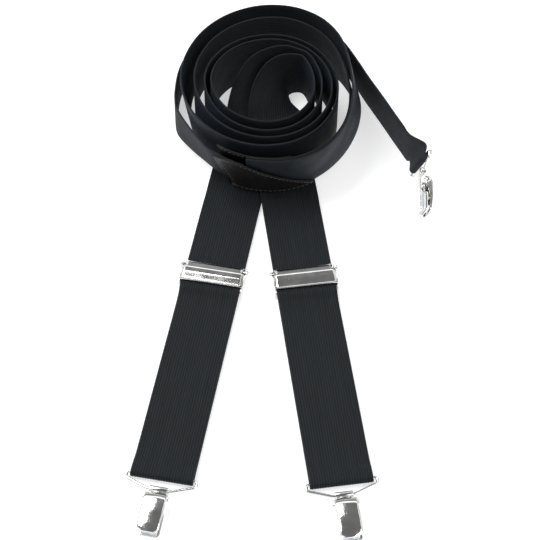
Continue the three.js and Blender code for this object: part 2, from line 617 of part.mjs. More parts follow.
function outerPatch() {
  const upper = new THREE.SplineCurve(PATCH_UPPER_EDGE.map((pair) => new THREE.Vector2(...pair)));
  const lowEdge = (share) => [
    THREE.MathUtils.lerp(PATCH_RIGHT, PATCH_LEFT_BOTTOM, share), PATCH_LOWER_EDGE,
  ];
  return patchLayer(PATCH_OFFSET, lowEdge, (share) => upper.getPoint(share).toArray());
}

function innerPatch() {
  const lowEdge = (share) => [
    THREE.MathUtils.lerp(PATCH_RIGHT + 6, PATCH_LEFT_BOTTOM, share), PATCH_LOWER_EDGE,
  ];
  const highEdge = (share) => [
    THREE.MathUtils.lerp(PATCH_RIGHT + 16, PATCH_LEFT_TOP, share), PATCH_PEAK_HEIGHT + 1,
  ];
  return patchLayer(-PATCH_OFFSET, lowEdge, highEdge);
}

// The back strap's end frame: its width runs along `across`, its clip points along `heading`
const backAcross = new THREE.Vector3(...BACK_FOLD_ACROSS).normalize();
const backHeading = new THREE.Vector3(...BACK_CLIP_HEADING).normalize();
const backFold = new THREE.Vector3(...placeAround(...BACK_FOLD), BACK_FOLD_HEIGHT);

function backStrap() {
  const stations = [];
  for (const along of [BACK_STRAP_STARTS_AT, 24, 36, 48]) {
    const turns = turnsAtFront(along);
    const lean = eased(OUTER_LEAN, turns);
    // Lower than the front straps, so further in where their walls lean out
    const inwards = ((STRAP_WIDTH - BACK_STRAP_WIDTH) / 2) * Math.sin(radians(lean));
    const [x, y] = coilPoint(turns, pairSpacing(turns) / 2 - inwards);
    stations.push([x, y, wallBase(y) + BACK_STRAP_LIFT, 90 - lean]);
  }
  for (const [turns, outsideCore] of BACK_ROUTE) {
    stations.push([...placeAround(turns, outsideCore), GAP, 90]);
  }
  const sections = stripSections(stations, BACK_STRAP_WIDTH, BACK_STRAP_THICKNESS);
  return band([...sections, ...backFoldSections()], BACK_STRAP_THICKNESS);
}

// The last stretch eases into the fold, goes round the bail's wire and back along itself
function backFoldSections() {
  const radius = WIRE_DIAMETER / 2 + GAP + BACK_STRAP_THICKNESS / 2;
  const outwards = backHeading.clone().cross(backAcross).normalize();
  const half = backAcross.clone().multiplyScalar(BACK_STRAP_WIDTH / 2);
  const place = (along, side) =>
    backFold.clone().addScaledVector(backHeading, along).addScaledVector(outwards, side);
  const section = (centre, normal) => {
    return { low: centre.clone().sub(half), high: centre.clone().add(half), normal };
  };
  const sections = [section(place(-BACK_FOLD_LEAD, radius * 0.9), outwards)];
  for (const [cosine, sine] of arcPoints(0, 0, 1, 90, -90, 8)) {
    const normal = backHeading.clone().multiplyScalar(cosine).addScaledVector(outwards, sine);
    sections.push(section(place(cosine * radius, sine * radius), normal));
  }
  const inwards = outwards.clone().negate();
  sections.push(section(place(-BACK_FOLD_TAIL / 2, -radius), inwards));
  sections.push(section(place(-BACK_FOLD_TAIL, -radius), inwards));
  return sections;
}

// ---- assembly ----
function strapEnd(coil, side, fold, mouth) {
  const end = new THREE.Group();
  end.position.set(fold[0], fold[1], 0);
  end.rotation.z = Math.atan2(mouth[0] - fold[0], fold[1] - mouth[1]);
  coil.add(end);
  adjuster(end, side);
  piece(end, `${side}_webbing_loop`, webbingLoop(), ribbedElastic);
  const hardware = new THREE.Group();
  hardware.position.set(0, 0, FOLD_RISE);
  end.add(hardware);
  clip(hardware, side, STRAP_WIDTH);
}

function build() {
  const coil = new THREE.Group();
  const left = frontStrap(LEFT_FOLD, LEFT_MOUTH, LEFT_ENTRY, true, OUTER_LEAN, OUTER_LIFT);
  const right = frontStrap(RIGHT_FOLD, RIGHT_MOUTH, RIGHT_ENTRY, false, INNER_LEAN, [[0, 0]]);
  piece(coil, "left_front_strap", left, ribbedElastic);
  piece(coil, "right_front_strap", right, ribbedElastic);
  piece(coil, "back_strap", backStrap(), smoothElastic);
  piece(coil, "outer_patch", outerPatch(), leather);
  piece(coil, "inner_patch", innerPatch(), leather);
  strapEnd(coil, "left", LEFT_FOLD, LEFT_MOUTH);
  strapEnd(coil, "right", RIGHT_FOLD, RIGHT_MOUTH);
  const backEnd = new THREE.Group();
  const up = backAcross.clone().cross(backHeading).normalize();
  backEnd.matrixAutoUpdate = false;
  backEnd.matrix.makeBasis(backAcross, backHeading, up).setPosition(backFold);
  coil.add(backEnd);
  clip(backEnd, "back", BACK_STRAP_WIDTH);
  return coil;
}

const suspenders = new THREE.Group();
suspenders.add(build());
suspenders.updateMatrixWorld(true);
const footprint = new THREE.Box3().setFromObject(suspenders, true);
const middle = footprint.getCenter(new THREE.Vector3());
suspenders.children[0].position.set(-middle.x, -middle.y, -footprint.min.z);

export default suspenders;
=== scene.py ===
# Y-back clip-on suspenders, rolled up and laid on a pale floor.
# Metres, +Z up; the flat strap ends point along -Y and the coil lies towards +Y.
import json
import math

import bmesh
import bpy
from mathutils import Matrix, Vector


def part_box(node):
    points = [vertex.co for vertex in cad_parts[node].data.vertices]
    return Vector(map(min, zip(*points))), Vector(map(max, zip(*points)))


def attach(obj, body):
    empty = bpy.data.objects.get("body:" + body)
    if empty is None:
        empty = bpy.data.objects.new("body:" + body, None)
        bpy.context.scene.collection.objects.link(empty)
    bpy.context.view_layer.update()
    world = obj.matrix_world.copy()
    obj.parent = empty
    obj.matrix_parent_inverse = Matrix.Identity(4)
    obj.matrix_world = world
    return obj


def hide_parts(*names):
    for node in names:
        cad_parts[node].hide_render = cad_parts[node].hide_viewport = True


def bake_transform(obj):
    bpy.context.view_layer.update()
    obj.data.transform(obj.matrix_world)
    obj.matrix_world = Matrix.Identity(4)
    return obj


MM = 0.001

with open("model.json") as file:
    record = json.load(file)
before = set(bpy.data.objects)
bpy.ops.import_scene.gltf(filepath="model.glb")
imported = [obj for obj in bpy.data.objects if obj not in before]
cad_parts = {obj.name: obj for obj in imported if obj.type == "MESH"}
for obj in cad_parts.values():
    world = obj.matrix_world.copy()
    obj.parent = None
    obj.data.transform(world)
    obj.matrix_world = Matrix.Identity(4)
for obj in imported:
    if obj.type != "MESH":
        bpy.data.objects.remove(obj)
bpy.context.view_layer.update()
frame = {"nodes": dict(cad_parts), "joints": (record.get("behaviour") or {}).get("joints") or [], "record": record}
joints = {joint["name"]: joint for joint in frame["joints"]}

# Camera and studio
CAMERA_PLACE = (-0.0099, -0.6060, 0.830)
CAMERA_TILT = 36  # degrees from straight down
CAMERA_LENS = 115.3
FLOOR_SIZE = 6
FLOOR_GLOW = 0.55

# Webbing and leather
FRONT_WIDTH = 35 * MM
BACK_WIDTH = 25 * MM
WEBBING_THICKNESS = 1.2 * MM
LEATHER_THICKNESS = 1.0 * MM
RIBS = 23
RIB_DEPTH = 0.26 * MM
SAMPLES_PER_RIB = 4
SECTION_STEP = 2.4 * MM
EDGE_SEGMENTS = 4
BACK_STEP = 1.5 * MM
LOOP_STEP = 1.5 * MM
PATCH_STEP = 1.5 * MM
BACK_END_SHOWN = 0.35  # how much of the sewn-back end stands clear of the fold
FRONT_BLEND = (0.046, 0.004)  # metres from the adjuster's middle, meant for where its pull starts and is whole; the points are worked out but nothing pulls the strap
LOOP_BLEND = (-0.012, -0.120)

# Stitches
STITCH_LENGTH = 1.9 * MM
STITCH_PITCH = 2.9 * MM
STITCH_THICKNESS = 0.42 * MM
SEAM_INSET = 1.7 * MM
MERGE_DISTANCE = 1e-6

# Clip and adjuster, in millimetres; the CAD model's sizes, but a slightly shorter lever
WIRE_DIAMETER = 2.0
BAIL_DEPTH = 8.6
BAIL_SHOULDER = 3.6
BAIL_BEND = 1.5
BAIL_NARROW_SIDE = 12.4
BAIL_SIDE_CLEARANCE = 1.2
CLIP_WIDTH = 12.8
GAP = 0.3
LEVER_LENGTH = 23.4
LEVER_RISE = 6.3
LEVER_BEHIND_HINGE = 2.2
LEVER_FLAT = 0.72  # the share of the grid's half-width that is the flat top; the rest folds down
SHEET_METAL = 0.7
PIN_HEAD = 0.7
HINGE_FROM_BAIL = 6.4
HINGE_RISE = 2.6
PIN_DIAMETER = 1.6
ADJUSTER_LENGTH = 15.2
ADJUSTER_OUTSIDE = 18.9
COVER_OVERHANG = 0.3
COVER_PIN_BACK = 5
COVER_PIN_RISE = 4.9
COVER_TOP = 7.5
COVER_NOTCH_HALF = 17.5  # the rear corners stand in from the frame's ears
COVER_NOTCH_END = -2.8


# ---- small helpers ----
def smooth_step(value, low, high):
    share = min(1.0, max(0.0, (value - low) / (high - low)))
    return share * share * (3 - 2 * share)


def deselect_all():
    for obj in bpy.context.selected_objects:
        obj.select_set(False)


def select_only(obj):
    deselect_all()
    obj.select_set(True)
    bpy.context.view_layer.objects.active = obj


def new_object(name, mesh):
    obj = bpy.data.objects.new(name, mesh)
    bpy.context.scene.collection.objects.link(obj)
    select_only(obj)
    return obj


def modify(obj, kind, **settings):
    """Adds a modifier with these settings and applies it."""
    select_only(obj)
    modifier = obj.modifiers.new(kind.title(), kind)
    for key, value in settings.items():
        setattr(modifier, key, value)
    bpy.ops.object.modifier_apply(modifier=modifier.name)
    return obj


def smoothed(obj, angle=40):
    select_only(obj)
    bpy.ops.object.shade_smooth_by_angle(angle=math.radians(angle))
    return obj


def tidied(obj):
    """Merges doubles and turns the faces outwards."""
    select_only(obj)
    bpy.ops.object.mode_set(mode="EDIT")
    bpy.ops.mesh.select_all(action="SELECT")
    bpy.ops.mesh.remove_doubles(threshold=MERGE_DISTANCE)
    bpy.ops.mesh.normals_make_consistent(inside=False)
    bpy.ops.object.mode_set(mode="OBJECT")
    return obj


def joined(name, objects):
    deselect_all()
    for obj in objects:
        obj.select_set(True)
    bpy.context.view_layer.objects.active = objects[0]
    bpy.ops.object.join()
    objects[0].name = name
    return objects[0]


def placed(obj, matrix):
    """Moves a piece modelled in millimetres at the origin to its place, which then lies in its mesh."""
    obj.data.transform(matrix @ Matrix.Scale(MM, 4))
    return obj


def dressed(obj, *finishes):
    obj.data.materials.clear()
    for finish in finishes:
        obj.data.materials.append(finish)
    return obj


# ---- materials ----
class Wire:
    """A value in a material; arithmetic on it adds Math nodes."""

    def __init__(self, finish, socket):
        self.finish = finish
        self.socket = socket

    def math(self, operation, *others):
        node = self.finish.tree.nodes.new("ShaderNodeMath")
        node.operation = operation
        for slot, value in zip(node.inputs, (self, *others)):
            self.finish.feed(slot, value)
        return Wire(self.finish, node.outputs[0])

    def __add__(self, other):
        return self.math("ADD", other)

    def __sub__(self, other):
        return self.math("SUBTRACT", other)

    def __rsub__(self, other):
        return (self * -1) + other

    def __mul__(self, other):
        return self.math("MULTIPLY", other)

    def __pow__(self, other):
        return self.math("POWER", other)

    __radd__ = __add__
    __rmul__ = __mul__


class Finish:
    """A material under construction: `add` makes any node, `surface` sets the shader's own inputs."""

    def __init__(self, name):
        self.material = bpy.data.materials.new(name)
        self.material.use_nodes = True
        self.tree = self.material.node_tree
        self.shader = self.tree.nodes["Principled BSDF"]

    def feed(self, slot, value):
        if isinstance(value, Wire):
            self.tree.links.new(value.socket, slot)
        else:
            slot.default_value = value

    def add(self, kind, settings=None, output=0, **values):
        node = self.tree.nodes.new("ShaderNode" + kind)
        for key, value in (settings or {}).items():
            setattr(node, key, value)
        for key, value in values.items():
            self.feed(node.inputs[key.replace("_", " ")], value)
        return Wire(self, node.outputs[output])

    def place(self):
        return self.add("TexCoord", output="Object")

    def strap_place(self):
        """Across and along the strap, in millimetres."""
        uv = self.add("UVMap", {"uv_map": "strap"})
        parts = self.tree.nodes.new("ShaderNodeSeparateXYZ")
        self.feed(parts.inputs[0], uv)
        return Wire(self, parts.outputs[0]) * 1000, Wire(self, parts.outputs[1]) * 1000

    def point(self, x, y, z=0.0):
        return self.add("CombineXYZ", X=x, Y=y, Z=z)

    def noise(self, place, scale, detail=2.0, roughness=0.5):
        return self.add("TexNoise", Vector=place, Scale=scale, Detail=detail, Roughness=roughness)

    def blend(self, factor, low, high):
        node = self.tree.nodes.new("ShaderNodeMix")
        node.data_type = "RGBA"
        self.feed(node.inputs[0], factor)
        self.feed(node.inputs[6], low)
        self.feed(node.inputs[7], high)
        return Wire(self, node.outputs[2])

    def clamp(self, value, low, high, low_out=0.0, high_out=1.0):
        settings = {"clamp": True}
        values = {"From_Min": low, "From_Max": high, "To_Min": low_out, "To_Max": high_out}
        return self.add("MapRange", settings, Value=value, **values)

    def bump(self, height, distance, strength=1.0):
        return self.add("Bump", Height=height, Distance=distance, Strength=strength)

    def surface(self, **values):
        for key, value in values.items():
            self.feed(self.shader.inputs[key.replace("_", " ")], value)
        return self.material


def ribbed_elastic():
    """Fine twisted threads over each rib, painted shade darkening the grooves between ribs, and a faint streak
    that differs from rib to rib.
    """
    finish = Finish("ribbed_elastic")
    across, along = finish.strap_place()
    rib = across * (RIBS / 33.8)
    # groove: the mask for the painted shade between the ribs, 1 in the middle of each groove.
    groove = ((rib * (2 * math.pi)).math("COSINE") * 0.5 + 0.5) ** 3
    rib_number = rib.math("ROUND")
    streaks = finish.noise(finish.point(rib_number * 7.3, along * 0.02), 1.0, detail=4.0)
    mottle = finish.noise(finish.point(across * 0.08, along * 0.05), 1.0, detail=3.0)
    thread = ((along * 9.5 + rib * 4.0).math("SINE") * 0.5 + 0.5)
    light = finish.clamp(streaks * 0.55 + mottle * 0.45, 0.32, 0.68)
    base = finish.blend(light, (0.0045, 0.0056, 0.0068, 1), (0.0125, 0.0158, 0.0185, 1))
    twisted = finish.blend(thread * 0.4, base, (0.021, 0.027, 0.031, 1))
    # Painted shade: the colour is darkened to near black in the grooves between the ribs.
    colour = finish.blend(groove * 0.9, twisted, (0.0008, 0.0009, 0.001, 1))
    relief = finish.bump(thread * 0.6 + mottle * 0.4, 0.00012)
    rough = finish.clamp(mottle, 0.3, 0.7, 0.5, 0.68)
    return finish.surface(
        Base_Color=colour, Roughness=rough, Normal=relief, Specular_IOR_Level=0.16,
        Sheen_Weight=0.05, Sheen_Roughness=0.45, Sheen_Tint=(0.55, 0.68, 0.95, 1),
    )


def smooth_elastic(name, dark, light, thread_colour):
    """A flat, tight weave: short cross threads in rows, with a soft mottle."""
    finish = Finish(name)
    across, along = finish.strap_place()
    row = (along * (2 * math.pi / 0.75)).math("SINE") * 0.5 + 0.5
    column = (across * (2 * math.pi / 0.6) + row * 1.6).math("SINE") * 0.5 + 0.5
    mottle = finish.noise(finish.point(across * 0.12, along * 0.07), 1.0, detail=5.0, roughness=0.6)
    fleck = finish.noise(finish.point(across * 1.4, along * 1.1), 1.0, detail=2.0)
    base = finish.blend(finish.clamp(mottle, 0.32, 0.68), dark, light)
    raised = finish.clamp(row * column + fleck * 0.5, 0.25, 1.3, 0.0, 0.6)
    colour = finish.blend(raised, base, thread_colour)
    relief = finish.bump(row * 0.5 + column * 0.5, 0.0001, 0.7)
    rough = finish.clamp(fleck, 0.3, 0.7, 0.6, 0.8)
    return finish.surface(
        Base_Color=colour, Roughness=rough, Normal=relief, Specular_IOR_Level=0.12,
    )


def selvage():
    """The woven edge of the webbing, painted paler than the strap as a highlight where its edges catch the light
    from above.
    """
    finish = Finish("selvage")
    across, along = finish.strap_place()
    pick = (along * (2 * math.pi / 0.8)).math("SINE") * 0.5 + 0.5
    # Painted highlight: a patchy noise sets how pale the edge is painted along its length.
    highlight_mottle = finish.noise(finish.point(along * 0.05, across * 0.1), 1.0, detail=3.0)
    tone = finish.clamp(highlight_mottle + pick * 0.3, 0.35, 0.95)
    # Painted highlight: the edge's colour is a pale grey, far lighter than the webbing's faces.
    colour = finish.blend(tone, (0.05, 0.052, 0.056, 1), (0.2, 0.204, 0.215, 1))
    relief = finish.bump(pick, 0.0001)
    return finish.surface(Base_Color=colour, Roughness=0.7, Normal=relief, Specular_IOR_Level=0.3)


def leather():
    """Fine grain with darker creases between its pebbles."""
    finish = Finish("leather")
    place = finish.place()
    grain = finish.add("TexVoronoi", {"feature": "DISTANCE_TO_EDGE"}, Vector=place, Scale=1300.0)
    crease = finish.clamp(grain, 0.0, 0.12)
    mottle = finish.noise(place, 90.0, detail=4.0)
    patches = finish.clamp(mottle, 0.3, 0.7)
    base = finish.blend(patches, (0.0025, 0.0021, 0.0019, 1), (0.0065, 0.0056, 0.0052, 1))
    colour = finish.blend(crease * 0.6 + 0.4, (0.003, 0.0025, 0.002, 1), base)
    rough = finish.clamp(mottle, 0.3, 0.7, 0.36, 0.52)
    relief = finish.bump(crease * 0.7 + mottle * 0.5, 0.00015)
    return finish.surface(Base_Color=colour, Roughness=rough, Normal=relief, Specular_IOR_Level=0.22)


def leather_edge():
    """Pale fibres of the cut edge."""
    finish = Finish("leather_edge")
    place = finish.place()
    fibre = finish.noise(place, 900.0, detail=3.0)
    colour = finish.blend(finish.clamp(fibre, 0.35, 0.65), (0.12, 0.12, 0.128, 1), (0.32, 0.32, 0.34, 1))
    return finish.surface(Base_Color=colour, Roughness=0.75, Normal=finish.bump(fibre, 0.0001))


def thread(name, dark, light):
    """Sewing thread, its twist running slantwise."""
    finish = Finish(name)
    place = finish.place()
    settings = {"bands_direction": "DIAGONAL"}
    twist = finish.add("TexWave", settings, Vector=place, Scale=900.0, Distortion=1.0)
    colour = finish.blend(twist, dark, light)
    relief = finish.bump(twist, 0.00008)
    return finish.surface(Base_Color=colour, Roughness=0.55, Normal=relief, Sheen_Weight=0.3)


def nickel():
    """Polished plating with faint polishing lines and a few dull patches."""
    finish = Finish("nickel")
    place = finish.place()
    haze = finish.noise(place, 120.0, detail=4.0)
    lines = finish.noise(finish.add("Mapping", Vector=place, Scale=(2600.0, 180.0, 900.0)), 1.0, detail=2.0)
    colour = finish.blend(finish.clamp(haze, 0.35, 0.65), (0.80, 0.795, 0.775, 1), (0.90, 0.90, 0.89, 1))
    rough = finish.clamp(haze * 0.7 + lines * 0.3, 0.35, 0.65, 0.07, 0.17)
    relief = finish.bump(haze * 0.6 + lines * 0.2, 0.00006)
    return finish.surface(Base_Color=colour, Metallic=1.0, Roughness=rough, Normal=relief)


def pad_plastic():
    """Milky plastic that lets some light through."""
    finish = Finish("pad_plastic")
    place = finish.place()
    cloud = finish.noise(place, 260.0, detail=3.0)
    colour = finish.blend(finish.clamp(cloud, 0.35, 0.65), (0.62, 0.68, 0.70, 1), (0.82, 0.86, 0.87, 1))
    rough = finish.clamp(cloud, 0.3, 0.7, 0.22, 0.36)
    return finish.surface(
        Base_Color=colour, Roughness=rough, Normal=finish.bump(cloud, 0.0001),
        Subsurface_Weight=0.3, Subsurface_Scale=0.002,
    )


def floor_paper():
    finish = Finish("floor_paper")
    fibre = finish.noise(finish.place(), 40.0, detail=3.0)
    colour = finish.blend(finish.clamp(fibre, 0.3, 0.7), (0.62, 0.62, 0.625, 1), (0.64, 0.64, 0.645, 1))
    return finish.surface(
        Base_Color=colour, Roughness=0.8, Specular_IOR_Level=0.1,
        Emission_Color=(1, 1, 1, 1), Emission_Strength=FLOOR_GLOW,
    )


RIBBED = ribbed_elastic()
REVERSE = smooth_elastic(
    "strap_reverse", (0.0055, 0.0053, 0.0045, 1), (0.012, 0.0115, 0.01, 1), (0.019, 0.0185, 0.017, 1),
)
BACK_WEAVE = smooth_elastic(
    "back_weave", (0.011, 0.0125, 0.0155, 1), (0.024, 0.0265, 0.032, 1), (0.04, 0.043, 0.052, 1),
)
SELVAGE = selvage()
LEATHER = leather()
LEATHER_EDGE = leather_edge()
DARK_THREAD = thread("dark_thread", (0.03, 0.03, 0.033, 1), (0.13, 0.13, 0.14, 1))
NICKEL = nickel()
PAD = pad_plastic()


# ---- straps: read back off their CAD solids, then drawn finely ----
def rings_from(start):
    """The rings of corners from this one on, or None if the mesh isn't four corners wide all the way."""
    ring, seen, rings = set(start), set(start), []
    while ring:
        if len(ring) != 4:
            return None
        rings.append([vert.co.copy() for vert in ring])
        ring = {edge.other_vert(vert) for vert in ring for edge in vert.link_edges} - seen
        seen |= ring
    return rings


def strap_sections(node):
    """The CAD solid's sections from its end nearest -Y: two edges and the normal of the face."""
    mesh = bmesh.new()
    mesh.from_mesh(frame["nodes"][node].data)
    bmesh.ops.remove_doubles(mesh, verts=mesh.verts, dist=1e-7)
    found = []
    for edge in mesh.edges:
        rings = rings_from({vert for face in edge.link_faces for vert in face.verts})
        if rings and len(rings) == len(mesh.verts) // 4:
            found.append(rings)
    mesh.free()
    return ordered_sections(min(found, key=lambda rings: sum(corner.y for corner in rings[0])))


def ordered_sections(rings):
    """Pairs each ring's four corners into two edges, and keeps both edges and the normal in step."""
    sections = []
    for corners in rings:
        first = corners[0]
        rest = sorted(corners[1:], key=lambda corner: (corner - first).length)
        one, other = (first, rest[0]), (rest[1], rest[2])
        if sections:
            low, _, normal = sections[-1]
            if ((one[0] + one[1]) / 2 - low).length > ((other[0] + other[1]) / 2 - low).length:
                one, other = other, one
            direction = one[1] - one[0]
            if direction.dot(normal) < 0:
                direction = -direction
        else:
            direction = one[1] - one[0]
            if direction.z < 0:
                direction = -direction
        sections.append(((one[0] + one[1]) / 2, (other[0] + other[1]) / 2, direction.normalized()))
    return sections


def curve_point(before, start, end, after, share):
    """A point on the smooth curve through start and end."""
    square, cube = share * share, share * share * share
    return 0.5 * (
        2 * start + (end - before) * share
        + (2 * before - 5 * start + 4 * end - after) * square
        + (3 * start - before - 3 * end + after) * cube
    )


def refined(sections, step=SECTION_STEP):
    """Smooths the sections and puts them `step` apart."""
    last = len(sections) - 1
    fine = []
    for i in range(last):
        around = [sections[max(0, min(last, k))] for k in (i - 1, i, i + 1, i + 2)]
        span = max((around[2][side] - around[1][side]).length for side in (0, 1))
        count = max(1, round(span / step))
        for k in range(count):
            fine.append(tuple(curve_point(*(s[part] for s in around), k / count) for part in range(3)))
    fine.append(sections[-1])
    return fine


def webbing_outline(width, thickness, ribs_in_front, ribs_behind=False):
    """Once round the section: (share of the flat, distance beyond it, distance out, zone)."""
    radius = thickness / 2

    def face(direction, ribbed, zone):
        count = RIBS * SAMPLES_PER_RIB if ribbed else 12
        points = []
        for i in range(count + 1):
            share = -1 + 2 * i / count
            groove = 0.5 + 0.5 * math.cos(2 * math.pi * RIBS * (share + 1) / 2) if ribbed else 0
            points.append((share * direction, 0.0, direction * (radius - RIB_DEPTH * groove), zone))
        return points

    def edge(direction):
        points = []
        for i in range(1, EDGE_SEGMENTS):
            angle = math.pi * i / EDGE_SEGMENTS
            out = radius * math.cos(angle) * direction
            points.append((direction, direction * radius * math.sin(angle), out, 2))
        return points

    return [*face(1, ribs_in_front, 0), *edge(1), *face(-1, ribs_behind, 1), *edge(-1)]


def ribbon(name, sections, outline, thickness, finishes, offset=0.0):
    """A strap drawn along its sections, with a `strap` UV map of metres across and along it."""
    vertices, faces, zones, places = [], [], [], []
    along = 0.0
    middle_before = None
    lengths = []
    for low, high, normal in sections:
        middle = (low + high) / 2
        across = (low - high).normalized()
        out = (normal - across * normal.dot(across)).normalized()
        flat = max((low - high).length / 2 - thickness / 2, 0.0)
        if middle_before is not None:
            along += (middle - middle_before).length
        middle_before = middle
        lengths.append(along)
        for share, beyond, height, _ in outline:
            vertices.append(middle + across * (share * flat + beyond) + out * (height + offset))
    count = len(outline)
    for i in range(len(sections) - 1):
        for k in range(count):
            following = (k + 1) % count
            here, ahead = i * count, (i + 1) * count
            faces.append((here + k, ahead + k, ahead + following, here + following))
            zones.append(max(outline[k][3], outline[following][3]))
            places.append((i, k))
    mesh = bpy.data.meshes.new(name)
    ends = [tuple(range(count)), tuple(reversed(range(len(vertices) - count, len(vertices))))]
    mesh.from_pydata([tuple(vertex) for vertex in vertices], [], faces + ends)
    obj = new_object(name, mesh)
    uv = mesh.uv_layers.new(name="strap")
    width = (sections[0][0] - sections[0][1]).length
    for polygon in mesh.polygons:
        for loop in polygon.loop_indices:
            index = mesh.loops[loop].vertex_index
            share, beyond, _, _ = outline[index % count]
            across = share * (width - thickness) / 2 + beyond
            uv.data[loop].uv = (across, lengths[index // count])
        polygon.material_index = zones[polygon.index] if polygon.index < len(zones) else 2
    dressed(obj, *finishes)
    turn_outwards(obj)
    return smoothed(obj, 60)


def turn_outwards(obj):
    mesh = bmesh.new()
    mesh.from_mesh(obj.data)
    if mesh.calc_volume(signed=True) < 0:
        bmesh.ops.reverse_faces(mesh, faces=mesh.faces)
        mesh.to_mesh(obj.data)
    mesh.free()


def line_length(sections):
    middles = [(low + high) / 2 for low, high, _ in sections]
    return sum((b - a).length for a, b in zip(middles, middles[1:]))


FRONT_OUTLINE = webbing_outline(FRONT_WIDTH, WEBBING_THICKNESS, True)
LOOP_OUTLINE = webbing_outline(FRONT_WIDTH, WEBBING_THICKNESS, True, True)
PLAIN_OUTLINE = webbing_outline(BACK_WIDTH, WEBBING_THICKNESS, False)
LEATHER_OUTLINE = webbing_outline(FRONT_WIDTH, LEATHER_THICKNESS, False)


def along_axis(joint, distance):
    """A point on a slide joint's axis, measured from the adjuster's middle."""
    low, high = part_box(f"{joint.split('_')[0]}_adjuster_frame")
    return (low + high) / 2 + Vector(joints[joint]["axis"]) * distance


def front_strap(side):
    node = f"{side}_front_strap"
    sections = refined(strap_sections(node))
    finishes = (RIBBED, REVERSE, SELVAGE)
    strap = ribbon(f"{side}_front_webbing", sections, FRONT_OUTLINE, WEBBING_THICKNESS, finishes)
    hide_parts(node)
    flat = (FRONT_WIDTH, line_length(sections))
    slide = f"{side}_adjuster_slide"
    start, end = (along_axis(slide, reach) for reach in FRONT_BLEND)
    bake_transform(strap)
    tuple(start)
    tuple(end)


def webbing_loop(side):
    node = f"{side}_webbing_loop"
    sections = refined(strap_sections(node), LOOP_STEP)
    finishes = (RIBBED, RIBBED, SELVAGE)
    loop = ribbon(f"{side}_loop_webbing", sections, LOOP_OUTLINE, WEBBING_THICKNESS, finishes)
    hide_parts(node)
    flat = (FRONT_WIDTH, line_length(sections))
    slide = f"{side}_adjuster_slide"
    start, end = (along_axis(slide, reach) for reach in LOOP_BLEND)
    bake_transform(loop)
    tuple(start)
    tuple(end)


def back_strap():
    sections = strap_sections("back_strap")
    bail = Vector(joints["back_bail_hinge"]["pos_m"])
    nearness = [((low + high) / 2 - bail).length for low, high, _ in sections]
    if nearness[0] < nearness[-1]:
        sections = sections[::-1]
    short_end = [before.lerp(after, BACK_END_SHOWN) for before, after in zip(*sections[-3:-1])]
    sections = refined([*sections[:-2], short_end], BACK_STEP)
    finishes = (BACK_WEAVE, BACK_WEAVE, SELVAGE)
    strap = ribbon("back_webbing", sections, PLAIN_OUTLINE, WEBBING_THICKNESS, finishes)
    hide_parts("back_strap")
    line_length(sections)
    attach(strap, "coil_and_straps")


# ---- leather patch and its stitching ----
def patch_sections(node):
    """The patch's sections, with their normals turned away from the middle of the coil."""
    sections = refined(strap_sections(node), PATCH_STEP)
    low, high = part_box("right_front_strap")
    middle = Vector(((low.x + high.x) / 2, (high.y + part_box("outer_patch")[0].y) / 2, 0))
    low, high, normal = sections[len(sections) // 2]
    away = (low + high) / 2 - middle
    away.z = 0
    turn = 1 if normal.dot(away) > 0 else -1
    upright = []
    for low, high, normal in sections:
        if low.z > high.z:
            low, high = high, low
        upright.append((low, high, normal * turn))
    return upright


def patch(node, name):
    sections = patch_sections(node)
    piece = ribbon(name, sections, LEATHER_OUTLINE, LEATHER_THICKNESS, (LEATHER, LEATHER, LEATHER_EDGE))
    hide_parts(node)
    width = max((high - low).length for low, high, _ in sections)
    length = line_length(sections)
    area = sum(
        ((high - low).length + (high_next - low_next).length) / 2
        * ((low_next + high_next) / 2 - (low + high) / 2).length
        for (low, high, _), (low_next, high_next, _) in zip(sections, sections[1:])
    )
    area = min(area, width * length)
    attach(piece, "coil_and_straps")
    return sections


def sewn_row(places, normals):
    """Stitches set at an even pitch along a line of places on a surface."""
    stitches = []
    carried = 0.0
    for start, end, normal in zip(places, places[1:], normals):
        span = (end - start).length
        while carried <= span:
            heading = (end - start).normalized()
            side = normal.cross(heading).normalized()
            turn = Matrix((heading, side, normal)).transposed().to_4x4()
            stitches.append(Matrix.Translation(start + heading * carried) @ turn)
            carried += STITCH_PITCH
        carried -= span
    return stitches


def stitching(name, rows, finish, body="coil_and_straps"):
    """One object of all the stitches, each a short rounded length of thread."""
    select_only(new_object("first_stitch", bpy.data.meshes.new("first_stitch")))
    bpy.data.objects.remove(bpy.context.object)
    bpy.ops.mesh.primitive_uv_sphere_add(segments=8, ring_count=6, radius=0.5)
    first = bpy.context.object
    size = Matrix.Diagonal((STITCH_LENGTH, STITCH_THICKNESS, STITCH_THICKNESS, 1))
    copies = []
    for matrix in (stitch for row in rows for stitch in row):
        copy = new_object("stitch", first.data.copy())
        copy.data.transform(matrix @ size)
        copies.append(copy)
    bpy.data.objects.remove(first)
    whole = joined(name, copies)
    whole.data.name = name
    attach(dressed(smoothed(whole), finish), body)
    return whole


def row_along(sections, share_at, out, first=0.0, last=1.0):
    """A sewn row that follows a ribbon; share_at gives the height of the row, from 0 low to 1 high."""
    start, end = round(first * (len(sections) - 1)), round(last * (len(sections) - 1))
    places, normals = [], []
    for i in range(start, end + 1):
        low, high, normal = sections[i]
        places.append(low.lerp(high, share_at((high - low).length)) + normal * out)
        normals.append(normal)
    return sewn_row(places, normals)


def row_across(section, low_inset, high_inset, out):
    low, high, normal = section
    up = (high - low).normalized()
    length = (high - low).length - low_inset - high_inset
    steps = max(2, round(length / 0.001))
    places = [low + up * (low_inset + length * k / steps) + normal * out for k in range(steps + 1)]
    return sewn_row(places, [normal] * len(places))


